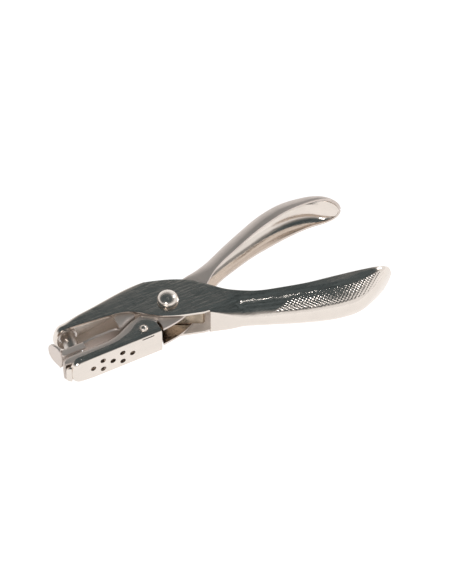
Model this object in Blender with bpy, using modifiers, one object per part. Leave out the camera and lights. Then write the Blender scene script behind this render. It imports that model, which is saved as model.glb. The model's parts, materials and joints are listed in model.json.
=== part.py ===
"""Single-hole plier punch, lying on its side: two pressed channel levers on one rivet, a punch pin
in the nose of one lever, a guide over the die hole of the other, and a hinged catcher for the chips.

X runs from the jaws (-X) to the grips (+X), +Y is the punch lever's side of the jaws, and +Z is up,
along the rivet. The origin is on the pivot axis, at the flat face of the rivet's tail.
"""

import math

import bmesh
import bpy
from mathutils import Matrix, Vector

MM = 0.001
OBJECT = "hole_punch"

# Driving dimensions, in millimetres and degrees.
JAW_REACH = 47.3  # from the pivot to the front of the punch lever's nose
GRIP_REACH = 88.3  # from the pivot to the end of the punch lever's grip
LEVER_HALF = 6.6  # half the punch lever's width at the jaw
GRIP_SWELL = 2.0  # how much wider each side gets at the grip
SHEET = 1.1
GAP = 0.3
EDGE = 0.15  # the small round on a sheet's free edges
CLOSE_DEG = 8.2

PIN_TO_NOSE = 2.7  # from the front of the nose to the pin's side
PIN_RADIUS = 3.0
PIN_TIP_PAST_DIE = 1.5
PIN_HEAD_ROOM = 1.1
PIN_COLLAR = 1.2
PIN_COLLAR_EXTRA = 0.9  # the collar's radius over the pin's
PIN_SWING_ROOM = 0.6  # round the pin in the holes, for the arc that it travels on

DIE_Y = -5.8
SLOT = 3.0  # the slot for the work, between the die and the guide
GUIDE_SHEET = 1.0
GUIDE_LEAD = 6.0  # from the pin's axis to the foot of the guide's lip
LIP_LENGTH = 7.4
LIP_LEAN_DEG = 62.0
LIP_CORNER = 4.4
SKIRT_CLEAR = 0.8  # under the guide's skirts, over the die
FOOT_START = -20.5
FOOT_END = -14.5
GUIDE_RIVET_RADIUS = 1.2
GUIDE_RIVET_HEAD = 1.9

RIVET_RADIUS = 2.3
RIVET_HEAD_RADIUS = 4.2
RIVET_RIM = 1.0
RIVET_DOME = 2.5
TAIL_RADIUS = 3.9
TAIL = 0.7
WASHER = 0.7
WASHER_RADIUS = 4.6

HINGE_X = -15.0
HINGE_DROP = 2.7  # the catcher's hinge under the die
HINGE_PIN_RADIUS = 1.2
HINGE_DOME = 1.5
HINGE_DOME_RADIUS = 2.0
EAR_X = -14.0
EAR_DROP = 3.2  # the middle of the catcher's round ear under the die
EAR_RADIUS = 5.2
CATCHER_SHEET = 0.9
CATCHER_DEPTH = 6.8  # from the die to the catcher's web
CATCHER_LEAD = 1.9  # the catcher's front past the punch lever's nose
CATCHER_REAR = -8.9
VENT_PITCH = 5.0
VENT_RADIUS = 1.2
VENT_SHIFT = -1.55  # the vents' middle from the catcher's middle

SPRING_SHEET = 0.6
SPRING_HALF = 3.5
SPRING_LEG = 11.0
SPRING_CURL = 1.0

WEB_END = -4.0  # the punch lever's upper web ends here
WEB_START = 11.5  # and its lower web starts here
FOLD = 2.2  # the punch lever's outer bend radius
DIE_FOLD = 1.5
NOSE_ROUND = 5.0
NOSE_SHARE = 0.55  # of the width is left at the front of the nose
TIP_ROUND = 9.0
TIP_SHARE = 0.25
GRIP_BLEND = 18.0  # the length over which a flat channel becomes a rounded grip
PUNCH_GRIP_ROUND = 9.5
DIE_GRIP_ROUND = 6.0

# Sizes that follow from them.
MIDDLE = LEVER_HALF + GAP + WASHER + GAP + TAIL
PUNCH_INNER = LEVER_HALF - SHEET
DIE_HALF = PUNCH_INNER - GAP
CLOSE = math.radians(CLOSE_DEG)
PIN_X = PIN_TO_NOSE + PIN_RADIUS - JAW_REACH
PIN_ROOM = PIN_RADIUS + PIN_SWING_ROOM
GUIDE_Y = DIE_Y + SLOT + GUIDE_SHEET
GUIDE_UNDER = DIE_Y + SLOT
GUIDE_FRONT = PIN_X - GUIDE_LEAD
RIVET_HOLE = RIVET_RADIUS + GAP
HINGE_Y = DIE_Y - HINGE_DROP
EAR_Y = DIE_Y - EAR_DROP
EAR_START = EAR_X - 3.6
HINGE_HOLE = HINGE_PIN_RADIUS + GAP
CATCHER_HALF = DIE_HALF + GAP + CATCHER_SHEET
CATCHER_WEB_Y = DIE_Y - CATCHER_DEPTH
CATCHER_FRONT = -JAW_REACH - CATCHER_LEAD
SPRING_BEND = RIVET_RADIUS + GAP + 0.05 + SPRING_SHEET / 2
# The die lever's web passes over the spring's turn, at this slope.
DIE_SLOPE = math.radians(21.8)
OVER_PIVOT = (SPRING_BEND + SPRING_SHEET / 2 + GAP + SHEET) / math.cos(DIE_SLOPE)

# The outlines are drawn for these reaches, and stretched to the real ones outside the pivot zone.
DRAWN_JAW = 47.3
DRAWN_GRIP = 88.3
PIVOT_ZONE = 22.0


def reach(x):
    """Where a place on the drawn outlines lies on a tool of the real reaches."""
    if x < -PIVOT_ZONE:
        return -PIVOT_ZONE + (x + PIVOT_ZONE) * (JAW_REACH - PIVOT_ZONE) / (DRAWN_JAW - PIVOT_ZONE)
    if x > PIVOT_ZONE:
        return PIVOT_ZONE + (x - PIVOT_ZONE) * (GRIP_REACH - PIVOT_ZONE) / (DRAWN_GRIP - PIVOT_ZONE)
    return x


def outline(points):
    return [(reach(x), y) for x, y in points]


# Outlines seen along the pivot: (x, y) through which each edge runs.
PUNCH_TOP = outline([
    (-47.3, 8.6), (-45.5, 10.3), (-41.0, 10.8), (-30.0, 11.6), (-20.0, 13.0), (-10.0, 13.4),
    (0.0, 11.8), (6.0, 9.5), (12.8, 5.6), (18.7, -0.3), (22.6, -4.8), (27.5, -8.5), (34.0, -12.3),
    (43.0, -15.5), (53.0, -18.6), (63.0, -20.6), (73.0, -22.3), (82.5, -24.0), (88.3, -23.6),
])
PUNCH_LOW = outline([
    (-47.3, 5.9), (-43.0, 5.7), (-37.0, 5.3), (-28.6, 4.4), (-22.2, 3.7), (-16.7, 2.7), (-12.5, -0.4),
    (-9.0, -3.6), (-6.0, -5.8), (0.6, -8.9), (5.0, -10.3), (11.5, -12.5), (20.0, -17.6), (29.0, -21.6),
    (38.0, -25.4), (47.0, -29.0), (56.6, -32.2), (65.0, -33.9), (71.2, -33.7), (78.0, -30.9),
    (84.4, -27.2), (88.3, -24.3),
])
DIE_TOP = outline([
    (-50.2, DIE_Y - 1.8), (-48.6, DIE_Y - 0.4), (-46.5, DIE_Y), (-40.0, DIE_Y), (-30.0, DIE_Y),
    (-25.4, DIE_Y + 0.8), (-21.0, DIE_Y + 2.9), (-16.5, DIE_Y + 4.9), (-12.4, OVER_PIVOT - 4.7),
    (0.0, OVER_PIVOT), (11.0, OVER_PIVOT + 4.1), (17.6, OVER_PIVOT + 6.2), (26.5, 15.2), (34.7, 18.7),
    (42.9, 21.8), (50.8, 24.5), (58.5, 26.2), (65.0, 26.7), (71.6, 26.0), (77.0, 24.4), (82.0, 21.4),
    (85.2, 18.4), (87.0, 15.9),
])
DIE_LOW = outline([
    (-50.2, DIE_Y - 3.0), (-46.0, DIE_Y - 4.2), (-30.0, DIE_Y - 5.0), (-15.0, DIE_Y - 5.5),
    (-9.8, DIE_Y - 5.5), (-3.0, -10.6), (2.6, -9.3), (9.9, -5.6), (12.1, -3.4), (15.5, -0.9),
    (19.0, 2.2), (23.8, 6.0), (29.0, 8.7), (36.0, 11.3), (46.0, 14.7), (55.0, 16.9), (64.0, 18.4),
    (75.0, 18.6), (82.0, 17.2), (87.0, 15.2),
])
CATCHER_TOP = outline([
    (-49.2, DIE_Y - 4.7), (-47.2, DIE_Y - 4.7), (-45.9, DIE_Y - 4.2), (-44.7, DIE_Y - 3.7),
    (-43.0, DIE_Y - 3.6), (-30.0, DIE_Y - 3.4), (-25.8, DIE_Y - 3.1), (-22.0, DIE_Y - 1.8),
    (-19.2, DIE_Y - 0.8),
])
# How far each grip has swollen, as a share of GRIP_SWELL.
GRIP_SHARE = outline([
    (12.0, 0.0), (20.0, 0.05), (34.0, 0.3), (43.0, 0.55), (53.0, 0.85), (62.0, 1.0), (74.0, 0.92),
    (88.3, 0.7),
])
NOSE_X = -JAW_REACH
TIP_X = GRIP_REACH
DIE_NOSE_X = DIE_TOP[0][0]
DIE_TIP_X = DIE_TOP[-1][0]


def along(keys, x):
    """The height at x of a smooth line through keys."""
    if x <= keys[0][0]:
        return keys[0][1]
    if x >= keys[-1][0]:
        return keys[-1][1]
    last = len(keys) - 1
    i = max(k for k in range(last) if keys[k][0] <= x)

    def slope(k):
        low, high = keys[max(k - 1, 0)], keys[min(k + 1, last)]
        return (high[1] - low[1]) / (high[0] - low[0])

    (x0, y0), (x1, y1) = keys[i], keys[i + 1]
    span = x1 - x0
    t = (x - x0) / span
    return (
        y0 * (1 + 2 * t) * (1 - t) ** 2
        + slope(i) * span * t * (1 - t) ** 2
        + y1 * t * t * (3 - 2 * t)
        + slope(i + 1) * span * t * t * (t - 1)
    )


def inset_line(keys, depth, side):
    """Keys of the line that lies depth inside keys: side is -1 under a top line and 1 over a low one."""
    count = 60
    reading = 0.2
    closest = 0.3
    first, last = keys[0][0], keys[-1][0]
    moved = []
    for i in range(count + 1):
        x = first + (last - first) * i / count
        rise = (along(keys, x + reading) - along(keys, x - reading)) / (2 * reading)
        length = math.hypot(1, rise)
        point = (x - side * rise / length * depth, along(keys, x) + side * depth / length)
        if not moved or point[0] > moved[-1][0] + closest:
            moved.append(point)
    return moved


def rounding(past, length):
    """1 until past is 0, then falling to 0 as a quarter ellipse while past grows to length."""
    share = min(max(past / length, 0.0), 1.0)
    return math.sqrt(1 - share * share)


def collection(name):
    made = bpy.data.collections.new(name)
    bpy.context.scene.collection.children.link(made)
    return made


def finish(obj, colour, roughness):
    """Gives obj a metal of its own."""
    made = bpy.data.materials.new(f"{obj.name}_metal")
    made.use_nodes = True
    shader = made.node_tree.nodes["Principled BSDF"]
    shader.inputs["Base Color"].default_value = (*colour, 1.0)
    shader.inputs["Roughness"].default_value = roughness
    shader.inputs["Metallic"].default_value = 1.0
    obj.data.materials.append(made)


BRIGHT = (0.72, 0.69, 0.66)
SATIN = (0.6, 0.56, 0.52)
TOOL_STEEL = (0.55, 0.52, 0.49)
TEMPERED = (0.35, 0.31, 0.27)


def solid(name, bm, group, origin=(0.0, 0.0)):
    """An object made of bm, which is in millimetres, with its origin on the line along Z at origin."""
    bmesh.ops.recalc_face_normals(bm, faces=bm.faces)
    bmesh.ops.translate(bm, vec=(-origin[0], -origin[1], 0), verts=bm.verts)
    bmesh.ops.scale(bm, vec=(MM, MM, MM), verts=bm.verts)
    mesh = bpy.data.meshes.new(name)
    bm.to_mesh(mesh)
    bm.free()
    mesh.shade_smooth()
    mesh.set_sharp_from_angle(angle=math.radians(35))
    obj = bpy.data.objects.new(name, mesh)
    obj.location = (origin[0] * MM, origin[1] * MM, 0)
    bpy.data.collections[group].objects.link(obj)
    return obj


def cutter(name, bm):
    obj = solid(name, bm, "cutters")
    obj.hide_render = True
    obj.display_type = "WIRE"
    return obj


def boolean(obj, other, operation="DIFFERENCE"):
    made = obj.modifiers.new(other.name, "BOOLEAN")
    made.operation = operation
    made.object = other
    made.solver = "EXACT"


def section(x, half, low, high, low_round, high_round):
    """A closed ring across the tool at x, with elliptic corners of (z, y) radii."""
    steps = 4
    least = 0.1
    low = min(low, high - 3 * least)
    corners = (
        (1, 1, high_round, 0),
        (-1, 1, high_round, 90),
        (-1, -1, low_round, 180),
        (1, -1, low_round, 270),
    )
    ring = []
    for side, end, (across, upright), start in corners:
        across = max(min(across, half - 0.04), least)
        upright = max(min(upright, high - low - 6 * least), least)
        edge = high if end > 0 else low
        for i in range(steps + 1):
            angle = math.radians(start + 90 * i / steps)
            z = side * (half - across) + across * math.cos(angle)
            y = edge - end * upright + upright * math.sin(angle)
            ring.append(Vector((x, y, MIDDLE + z)))
    return ring


def loft(rings):
    bm = bmesh.new()
    loops = [[bm.verts.new(point) for point in ring] for ring in rings]
    for ahead, behind in zip(loops, loops[1:]):
        for i in range(len(ahead)):
            j = (i + 1) % len(ahead)
            bm.faces.new((ahead[i], ahead[j], behind[j], behind[i]))
    bm.faces.new(loops[0])
    bm.faces.new(reversed(loops[-1]))
    return bm


def stations(start, end, count, bunch=1.0):
    """Places from start to end, closer together at both ends as bunch goes from 0 to 1."""
    places = []
    for i in range(count + 1):
        even = i / count
        eased = (1 - math.cos(math.pi * even)) / 2
        places.append(start + (end - start) * (even + (eased - even) * bunch))
    return places


def lift(bm, face, vec):
    """Extrudes face by vec."""
    lifted = bmesh.ops.extrude_face_region(bm, geom=[face])
    moved = [item for item in lifted["geom"] if isinstance(item, bmesh.types.BMVert)]
    bmesh.ops.translate(bm, vec=vec, verts=moved)


def slab(points, low, high):
    """A prism over points in X and Y, from low to high above the middle plane."""
    bm = bmesh.new()
    face = bm.faces.new([bm.verts.new((x, y, MIDDLE + low)) for x, y in points])
    lift(bm, face, (0, 0, high - low))
    return bm


def arc(centre, radius, start, end, count):
    points = []
    for i in range(count + 1):
        angle = math.radians(start + (end - start) * i / count)
        points.append((centre[0] + radius * math.cos(angle), centre[1] + radius * math.sin(angle)))
    return points


def rod(radius, depth, place, segments):
    """A round bar along place's own Z, centred on it."""
    bm = bmesh.new()
    bmesh.ops.create_cone(
        bm, cap_ends=True, segments=segments, radius1=radius, radius2=radius, depth=depth, matrix=place
    )
    return bm


def post(x, y, radius, low, high, segments=32):
    """A round bar along Z, from low to high above the middle plane."""
    return rod(radius, high - low, Matrix.Translation((x, y, MIDDLE + (low + high) / 2)), segments)


def upright_post(x, z, radius, low, high, segments=32):
    """A round bar along Y, from low to high."""
    place = Matrix.Translation((x, (low + high) / 2, MIDDLE + z)) @ Matrix.Rotation(math.pi / 2, 4, "X")
    return rod(radius, high - low, place, segments)


def turned(name, profile, place, steps=32):
    """A solid of revolution: profile is (radius, height) from top to bottom, both ends on the axis."""
    mesh = bpy.data.meshes.new(name)
    mesh.from_pydata(
        [(radius * MM, 0, height * MM) for radius, height in profile],
        [(i, i + 1) for i in range(len(profile) - 1)],
        [],
    )
    obj = bpy.data.objects.new(name, mesh)
    bpy.data.collections[OBJECT].objects.link(obj)
    screw = obj.modifiers.new("turn", "SCREW")
    screw.axis = "Z"
    screw.steps = steps
    screw.render_steps = steps
    screw.use_merge_vertices = True
    screw.merge_threshold = 0.00001
    screw.use_smooth_shade = True
    obj.matrix_world = place
    return obj


def dome(radius, height, seat, steps):
    """The profile of a spherical cap of this radius and height on seat, from its top to its rim."""
    sphere = (radius**2 + height**2) / (2 * height)
    points = [(0, seat + height)]
    for i in range(1, steps + 1):
        rise = height * (1 - (i / steps) ** 2)
        points.append((math.sqrt(sphere**2 - (rise + sphere - height) ** 2), seat + rise))
    return points


# ---------------------------------------------------------------- punch lever


def grip_extra(x):
    return GRIP_SWELL * along(GRIP_SHARE, x)


def grip_blend(x, start):
    return min(max((x - start) / GRIP_BLEND, 0.0), 1.0)


def punch_half(x, inset):
    """Half the punch lever's width at x, narrowing to a round nose and a round tip."""
    nose = rounding(NOSE_X + NOSE_ROUND - x, NOSE_ROUND - inset)
    tip = rounding(x - (TIP_X - TIP_ROUND), TIP_ROUND - inset)
    share = (NOSE_SHARE + (1 - NOSE_SHARE) * nose) * (TIP_SHARE + (1 - TIP_SHARE) * tip)
    return (LEVER_HALF + grip_extra(x)) * share - inset


def punch_rounds(x, half, inset):
    """The (z, y) radii of the grip's lower corners."""
    fold = FOLD - inset
    blend = grip_blend(x, WEB_START)
    return (fold + (half * 0.96 - fold) * blend, fold + (PUNCH_GRIP_ROUND - inset - fold) * blend)


def punch_ring(x):
    half = punch_half(x, 0)
    low, high = along(PUNCH_LOW, x), along(PUNCH_TOP, x)
    if x < WEB_END:
        return section(x, half, low, high, (EDGE, EDGE), (FOLD, FOLD))
    if x < WEB_START:
        return section(x, half, low, high, (EDGE, EDGE), (EDGE, EDGE))
    return section(x, half, low, high, punch_rounds(x, half, 0), (EDGE, EDGE))


def punch_lever():
    """The outer channel: its web is on top at the jaw and underneath at the grip."""
    step = 0.6
    places = stations(NOSE_X, WEB_END, 14) + stations(WEB_END + step, WEB_START - step, 6, 0)
    places += stations(WEB_START, TIP_X, 30, 0.7)
    lever = solid("punch_lever", loft([punch_ring(x) for x in places]), OBJECT)
    finish(lever, BRIGHT, 0.12)

    past = 6.0
    under = inset_line(PUNCH_TOP, SHEET, -1)
    rings = []
    for x in stations(NOSE_X + SHEET, WEB_END + 2, 14):
        bend = (FOLD - SHEET, FOLD - SHEET)
        low = along(PUNCH_LOW, x) - past
        rings.append(section(x, punch_half(x, SHEET), low, along(under, x), (EDGE, EDGE), bend))
    boolean(lever, cutter("jaw_room", loft(rings)))

    tall = 30.0
    between = [(WEB_END, -tall), (WEB_START, -tall), (WEB_START, tall), (WEB_END, tall)]
    boolean(lever, cutter("pivot_room", slab(between, -PUNCH_INNER, PUNCH_INNER)))

    over = inset_line(PUNCH_LOW, SHEET, 1)
    rings = []
    for x in stations(WEB_START - 2, TIP_X - 2 * SHEET, 30, 0.7):
        half = punch_half(x, SHEET)
        high = along(PUNCH_TOP, x) + past
        rings.append(section(x, half, along(over, x), high, punch_rounds(x, half, SHEET), (EDGE, EDGE)))
    boolean(lever, cutter("grip_room", loft(rings)))
    rivet_room = post(0, 0, RIVET_HOLE, -LEVER_HALF - 2, LEVER_HALF + 2)
    boolean(lever, cutter("punch_rivet_hole", rivet_room))
    return lever


def punch_pin(lever):
    """The pin stands square to the die when the levers are closed, so it leans by that angle when open."""
    bevel = 0.3
    hollow = 0.6
    top = along(PUNCH_TOP, PIN_X) - SHEET - PIN_HEAD_ROOM
    closed_tip = DIE_Y - SHEET - PIN_TIP_PAST_DIE
    # The pin's top, brought to where the closed lever carries it.
    closed_top = (top + PIN_X * math.sin(CLOSE)) / math.cos(CLOSE)
    collar = PIN_RADIUS + PIN_COLLAR_EXTRA
    profile = [
        (0, closed_top), (collar - bevel, closed_top), (collar, closed_top - bevel),
        (collar, closed_top - PIN_COLLAR), (PIN_RADIUS, closed_top - PIN_COLLAR - 0.5),
        (PIN_RADIUS, closed_tip), (PIN_RADIUS - 0.5, closed_tip), (0, closed_tip + hollow),
    ]
    stand = Matrix.Translation((PIN_X * MM, 0, MIDDLE * MM)) @ Matrix.Rotation(-math.pi / 2, 4, "X")
    pin = turned("punch_pin", profile, Matrix.Rotation(-CLOSE, 4, "Z") @ stand)
    pin.parent = lever
    finish(pin, TOOL_STEEL, 0.25)


# ------------------------------------------------------------------ die lever


def die_half(x, inset):
    """Half the die lever's width at x: inside the cheeks at the jaw, as wide as the other grip behind."""
    nose_round, nose_share = 2.5, 0.7
    tip_round, tip_share = 8.0, 0.3
    nose = rounding(DIE_NOSE_X + nose_round - x, nose_round - inset)
    tip = rounding(x - (DIE_TIP_X - tip_round), tip_round - inset)
    wide = DIE_HALF + grip_extra(x) + (LEVER_HALF - DIE_HALF) * along(GRIP_SHARE, x)
    return wide * (nose_share + (1 - nose_share) * nose) * (tip_share + (1 - tip_share) * tip) - inset


def die_ring(x, inset, low, high):
    half = die_half(x, inset)
    fold = DIE_FOLD - inset
    blend = grip_blend(x, WEB_START)
    rounds = (fold + (half * 0.9 - fold) * blend, fold + (DIE_GRIP_ROUND - inset - fold) * blend)
    return section(x, half, low, high, (EDGE, EDGE), rounds)


def die_lever():
    """The inner channel: its web is the die plate at the jaw and the back of the other grip."""
    past = 6.0
    before, behind = -14.0, -12.0
    rings = []
    for x in stations(DIE_NOSE_X, before, 12) + stations(behind, DIE_TIP_X, 34, 0.6):
        rings.append(die_ring(x, 0, along(DIE_LOW, x), along(DIE_TOP, x)))
    lever = solid("die_lever", loft(rings), OBJECT)
    finish(lever, SATIN, 0.32)
    under = inset_line(DIE_TOP, SHEET, -1)
    rings = []
    for x in stations(DIE_NOSE_X + SHEET, before, 12) + stations(behind, DIE_TIP_X - 2 * SHEET, 34, 0.6):
        rings.append(die_ring(x, SHEET, along(DIE_LOW, x) - past, along(under, x)))
    boolean(lever, cutter("die_room", loft(rings)))

    wide = DIE_HALF + 2
    boolean(lever, cutter("die_rivet_hole", post(0, 0, RIVET_HOLE, -wide, wide)))
    boolean(lever, cutter("die_hinge_hole", post(HINGE_X, HINGE_Y, HINGE_HOLE, -wide, wide, 20)))
    boolean(lever, cutter("die_hole", upright_post(PIN_X - GAP, 0, PIN_ROOM, DIE_Y - 3, DIE_Y + 2)))
    # The catcher's back end swings up here as it opens, round what is left of the hinge's eye.
    hinge = (HINGE_X, HINGE_Y)
    eye = HINGE_HOLE + 1.3
    sweep = math.hypot(CATCHER_REAR - HINGE_X, CATCHER_WEB_Y - HINGE_Y) + 0.5
    relief = arc(hinge, sweep, -100, 20, 16) + arc(hinge, eye, 20, -100, 10)
    boolean(lever, cutter("swing_room", slab(relief, -wide, wide)))
    return lever


def guide_foot(x, over):
    """The underside of the guide's sloping foot at x, over mm above the die lever's web."""
    return along(DIE_TOP, x) + over


def guide_rivet_place():
    """The frame of the guide's rivet, square to the sloping web, in millimetres."""
    x = (FOOT_START + FOOT_END) / 2
    slope = math.atan2(along(DIE_TOP, x + 2) - along(DIE_TOP, x - 2), 4)
    place = Matrix.Translation((x, along(DIE_TOP, x), MIDDLE))
    return place @ Matrix.Rotation(slope, 4, "Z") @ Matrix.Rotation(-math.pi / 2, 4, "X")


def guide_strip():
    """The guide's strip seen along the pivot: the flared lip, the flat and the foot."""
    lean = math.radians(LIP_LEAN_DEG)
    out, up = -math.cos(lean), math.sin(lean)
    tip = (GUIDE_FRONT + out * LIP_LENGTH, GUIDE_Y + up * LIP_LENGTH)
    tuck = 0.2
    foot = GAP + 0.1
    return [
        (GUIDE_FRONT, GUIDE_Y), tip,
        (tip[0] - GUIDE_SHEET * up, tip[1] + GUIDE_SHEET * out - tuck),
        (GUIDE_FRONT - GUIDE_SHEET * up - GAP, GUIDE_UNDER + tuck), (GUIDE_FRONT - tuck, GUIDE_UNDER),
        (FOOT_START - 2, GUIDE_UNDER),
        (FOOT_START, guide_foot(FOOT_START, foot)), (FOOT_END, guide_foot(FOOT_END, foot)),
        (FOOT_END, guide_foot(FOOT_END, foot + GUIDE_SHEET)),
        (FOOT_START - 0.5, guide_foot(FOOT_START + 0.5, foot + GUIDE_SHEET)),
        (FOOT_START - 2.5, GUIDE_Y),
    ]


def lip_corner(side):
    """What is cut off the lip's free end to round its corner."""
    lean = math.radians(LIP_LEAN_DEG)
    out, up = -math.cos(lean), math.sin(lean)
    beyond = 1.0
    through = 3.0
    centre = (LIP_LENGTH - LIP_CORNER, DIE_HALF - LIP_CORNER)
    points = [(LIP_LENGTH + beyond, DIE_HALF + beyond), (centre[0], DIE_HALF + beyond)]
    points += arc(centre, LIP_CORNER, 90, 0, 8) + [(LIP_LENGTH + beyond, centre[1])]
    across = Vector((up, -out, 0)) * through
    bm = bmesh.new()
    loop = []
    for run, z in points:
        place = Vector((GUIDE_FRONT + out * run, GUIDE_Y + up * run, MIDDLE + side * z))
        loop.append(bm.verts.new(place + across))
    lift(bm, bm.faces.new(loop), across * -2)
    return bm


def guide_plate(lever):
    """A strip over the die that guides the pin and strips the work off it, with a flared front lip."""
    plate = solid("guide_plate", slab(guide_strip(), -DIE_HALF, DIE_HALF), OBJECT)
    skirt_end = PIN_X + PIN_RADIUS - 0.1
    skirt_round = 1.6
    skirt_low = DIE_Y + SKIRT_CLEAR
    skirt = [(skirt_end, GUIDE_UNDER + 0.4), (skirt_end, skirt_low)]
    skirt += arc((GUIDE_FRONT, skirt_low + skirt_round), skirt_round, -90, -180, 6)
    skirt += [(GUIDE_FRONT - 1.4, GUIDE_UNDER + 0.6), (GUIDE_FRONT, GUIDE_UNDER + 0.8)]
    ear_top = GUIDE_Y + 5.4
    ear = [
        (FOOT_START - 1.9, GUIDE_UNDER + 0.3), (FOOT_START, guide_foot(FOOT_START, GAP + 0.2)),
        (FOOT_END - 0.2, guide_foot(FOOT_END - 0.2, GAP + 0.3)), (FOOT_END - 0.2, ear_top - 1.2),
        (FOOT_END - 1.5, ear_top), (FOOT_START - 0.1, ear_top), (FOOT_START - 1.9, ear_top - 1.6),
    ]
    for side, hand in ((-1, "right"), (1, "left")):
        near, far = sorted((side * DIE_HALF, side * (DIE_HALF - GUIDE_SHEET)))
        boolean(plate, cutter(f"skirt_{hand}", slab(skirt, near, far)), "UNION")
        boolean(plate, cutter(f"ear_{hand}", slab(ear, near, far)), "UNION")
        boolean(plate, cutter(f"lip_corner_{hand}", lip_corner(side)))

    pin_room = upright_post(PIN_X - 0.4, 0, PIN_ROOM, GUIDE_UNDER - 0.4, GUIDE_Y + 2)
    boolean(plate, cutter("guide_hole", pin_room))
    room = cutter("guide_rivet_hole", rod(GUIDE_RIVET_RADIUS + GAP, 8, guide_rivet_place(), 20))
    boolean(plate, room)
    boolean(lever, room)
    plate.parent = lever
    finish(plate, SATIN, 0.25)


def guide_rivet(lever):
    """Domed over the guide, flat under the die lever's web."""
    head, tail = 1.0, 0.6
    over = 2 * GAP + GUIDE_SHEET
    under = -SHEET - GAP
    profile = dome(GUIDE_RIVET_HEAD, head, over, 4)
    profile += [
        (GUIDE_RIVET_RADIUS, over), (GUIDE_RIVET_RADIUS, under), (GUIDE_RIVET_HEAD, under),
        (GUIDE_RIVET_HEAD, under - tail), (0, under - tail),
    ]
    place = guide_rivet_place()
    place = Matrix.Translation(place.to_translation() * MM) @ place.to_3x3().to_4x4()
    rivet = turned("guide_rivet", profile, place, 20)
    rivet.parent = lever
    finish(rivet, BRIGHT, 0.15)


# --------------------------------------------------------------- chip catcher


def catcher_top(x):
    """The catcher's upper edge: it follows the die lever, then rounds the ear over the hinge."""
    ear = EAR_Y + math.sqrt(EAR_RADIUS**2 - (max(x, EAR_START) - EAR_X) ** 2)
    return ear if x >= EAR_START else along(CATCHER_TOP + [(EAR_START, ear)], x)


def catcher_ring(x, inset, high):
    round_off, share, rise, fold = 3.6, 0.5, 1.3, 1.3
    nose = rounding(CATCHER_FRONT + round_off - x, round_off - inset)
    half = CATCHER_HALF * (share + (1 - share) * nose) - inset
    low = CATCHER_WEB_Y + rise * (1 - nose) + inset
    return section(x, half, low, high, (fold - inset, fold - inset), (EDGE, EDGE))


def chip_catcher(lever):
    """A box under the die with vent holes, which swings down on its rear ears to drop the chips."""
    hinge = (HINGE_X, HINGE_Y)
    nose_end, body_start = CATCHER_FRONT + 5.2, CATCHER_FRONT + 8.2
    places = stations(CATCHER_FRONT, nose_end, 8) + stations(body_start, EAR_START - 0.6, 8, 0)
    places += stations(EAR_START, CATCHER_REAR, 10, 0)
    rings = [catcher_ring(x, 0, catcher_top(x)) for x in places]
    box = solid("chip_catcher", loft(rings), OBJECT, hinge)
    finish(box, BRIGHT, 0.12)

    over_all = DIE_Y + 9
    places = stations(CATCHER_FRONT + CATCHER_SHEET, nose_end, 8)
    places += stations(body_start, CATCHER_REAR + 3, 12, 0)
    boolean(box, cutter("chip_room", loft([catcher_ring(x, CATCHER_SHEET, over_all) for x in places])))
    wide = CATCHER_HALF + 2
    boolean(box, cutter("catcher_hinge_hole", post(*hinge, HINGE_HOLE, -wide, wide, 20)))

    row = VENT_PITCH * math.sqrt(3)
    middle = (CATCHER_FRONT + CATCHER_REAR) / 2 + VENT_SHIFT
    vents = [(middle + row * i, 0) for i in (-1, 0, 1)]
    vents += [(middle + row * i, side * VENT_PITCH / 2) for i in (-0.5, 0.5) for side in (-1, 1)]
    for i, (x, z) in enumerate(vents):
        vent = upright_post(x, z, VENT_RADIUS, CATCHER_WEB_Y - 2, CATCHER_WEB_Y + 3, 16)
        boolean(box, cutter(f"vent_{i}", vent))

    nail = [(0.5, 1.0), (-0.6, 1.1), (-2.2, 2.3), (-2.2, 3.1), (-0.8, 2.1), (0.5, 2.0)]
    nail_half = 4.4
    lip = [(CATCHER_FRONT + x, CATCHER_WEB_Y + y) for x, y in nail]
    boolean(box, cutter("nail_lip", slab(lip, -nail_half, nail_half)), "UNION")
    box.parent = lever


def catcher_pin(lever):
    """Runs through the die lever and the catcher's ears, with a domed end on each side."""
    seat = CATCHER_HALF + GAP
    profile = dome(HINGE_DOME_RADIUS, HINGE_DOME, seat, 5) + [(HINGE_PIN_RADIUS, seat)]
    profile += [(radius, -height) for radius, height in reversed(profile)]
    pin = turned("catcher_pin", profile, Matrix.Translation((HINGE_X * MM, HINGE_Y * MM, MIDDLE * MM)), 20)
    pin.parent = lever
    finish(pin, BRIGHT, 0.15)


# -------------------------------------------------------------- pivot, spring


def pivot_rivet(lever):
    """Domed head on top, and a flat tail that the tool lies on."""
    bevel = 0.3
    seat = MIDDLE + LEVER_HALF + GAP
    profile = dome(RIVET_HEAD_RADIUS, RIVET_DOME, seat + RIVET_RIM, 6)
    profile += [
        (RIVET_HEAD_RADIUS, seat), (RIVET_RADIUS, seat), (RIVET_RADIUS, TAIL), (TAIL_RADIUS, TAIL),
        (TAIL_RADIUS, bevel), (TAIL_RADIUS - bevel, 0), (0, 0),
    ]
    rivet = turned("pivot_rivet", profile, Matrix.Identity(4))
    rivet.parent = lever
    finish(rivet, BRIGHT, 0.1)


def pivot_washer(lever):
    low = -LEVER_HALF - GAP - WASHER
    washer = solid("pivot_washer", post(0, 0, WASHER_RADIUS, low, low + WASHER), OBJECT)
    boolean(washer, cutter("washer_hole", post(0, 0, RIVET_HOLE, low - 1, low + WASHER + 0.1)))
    washer.parent = lever
    finish(washer, BRIGHT, 0.2)


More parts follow.
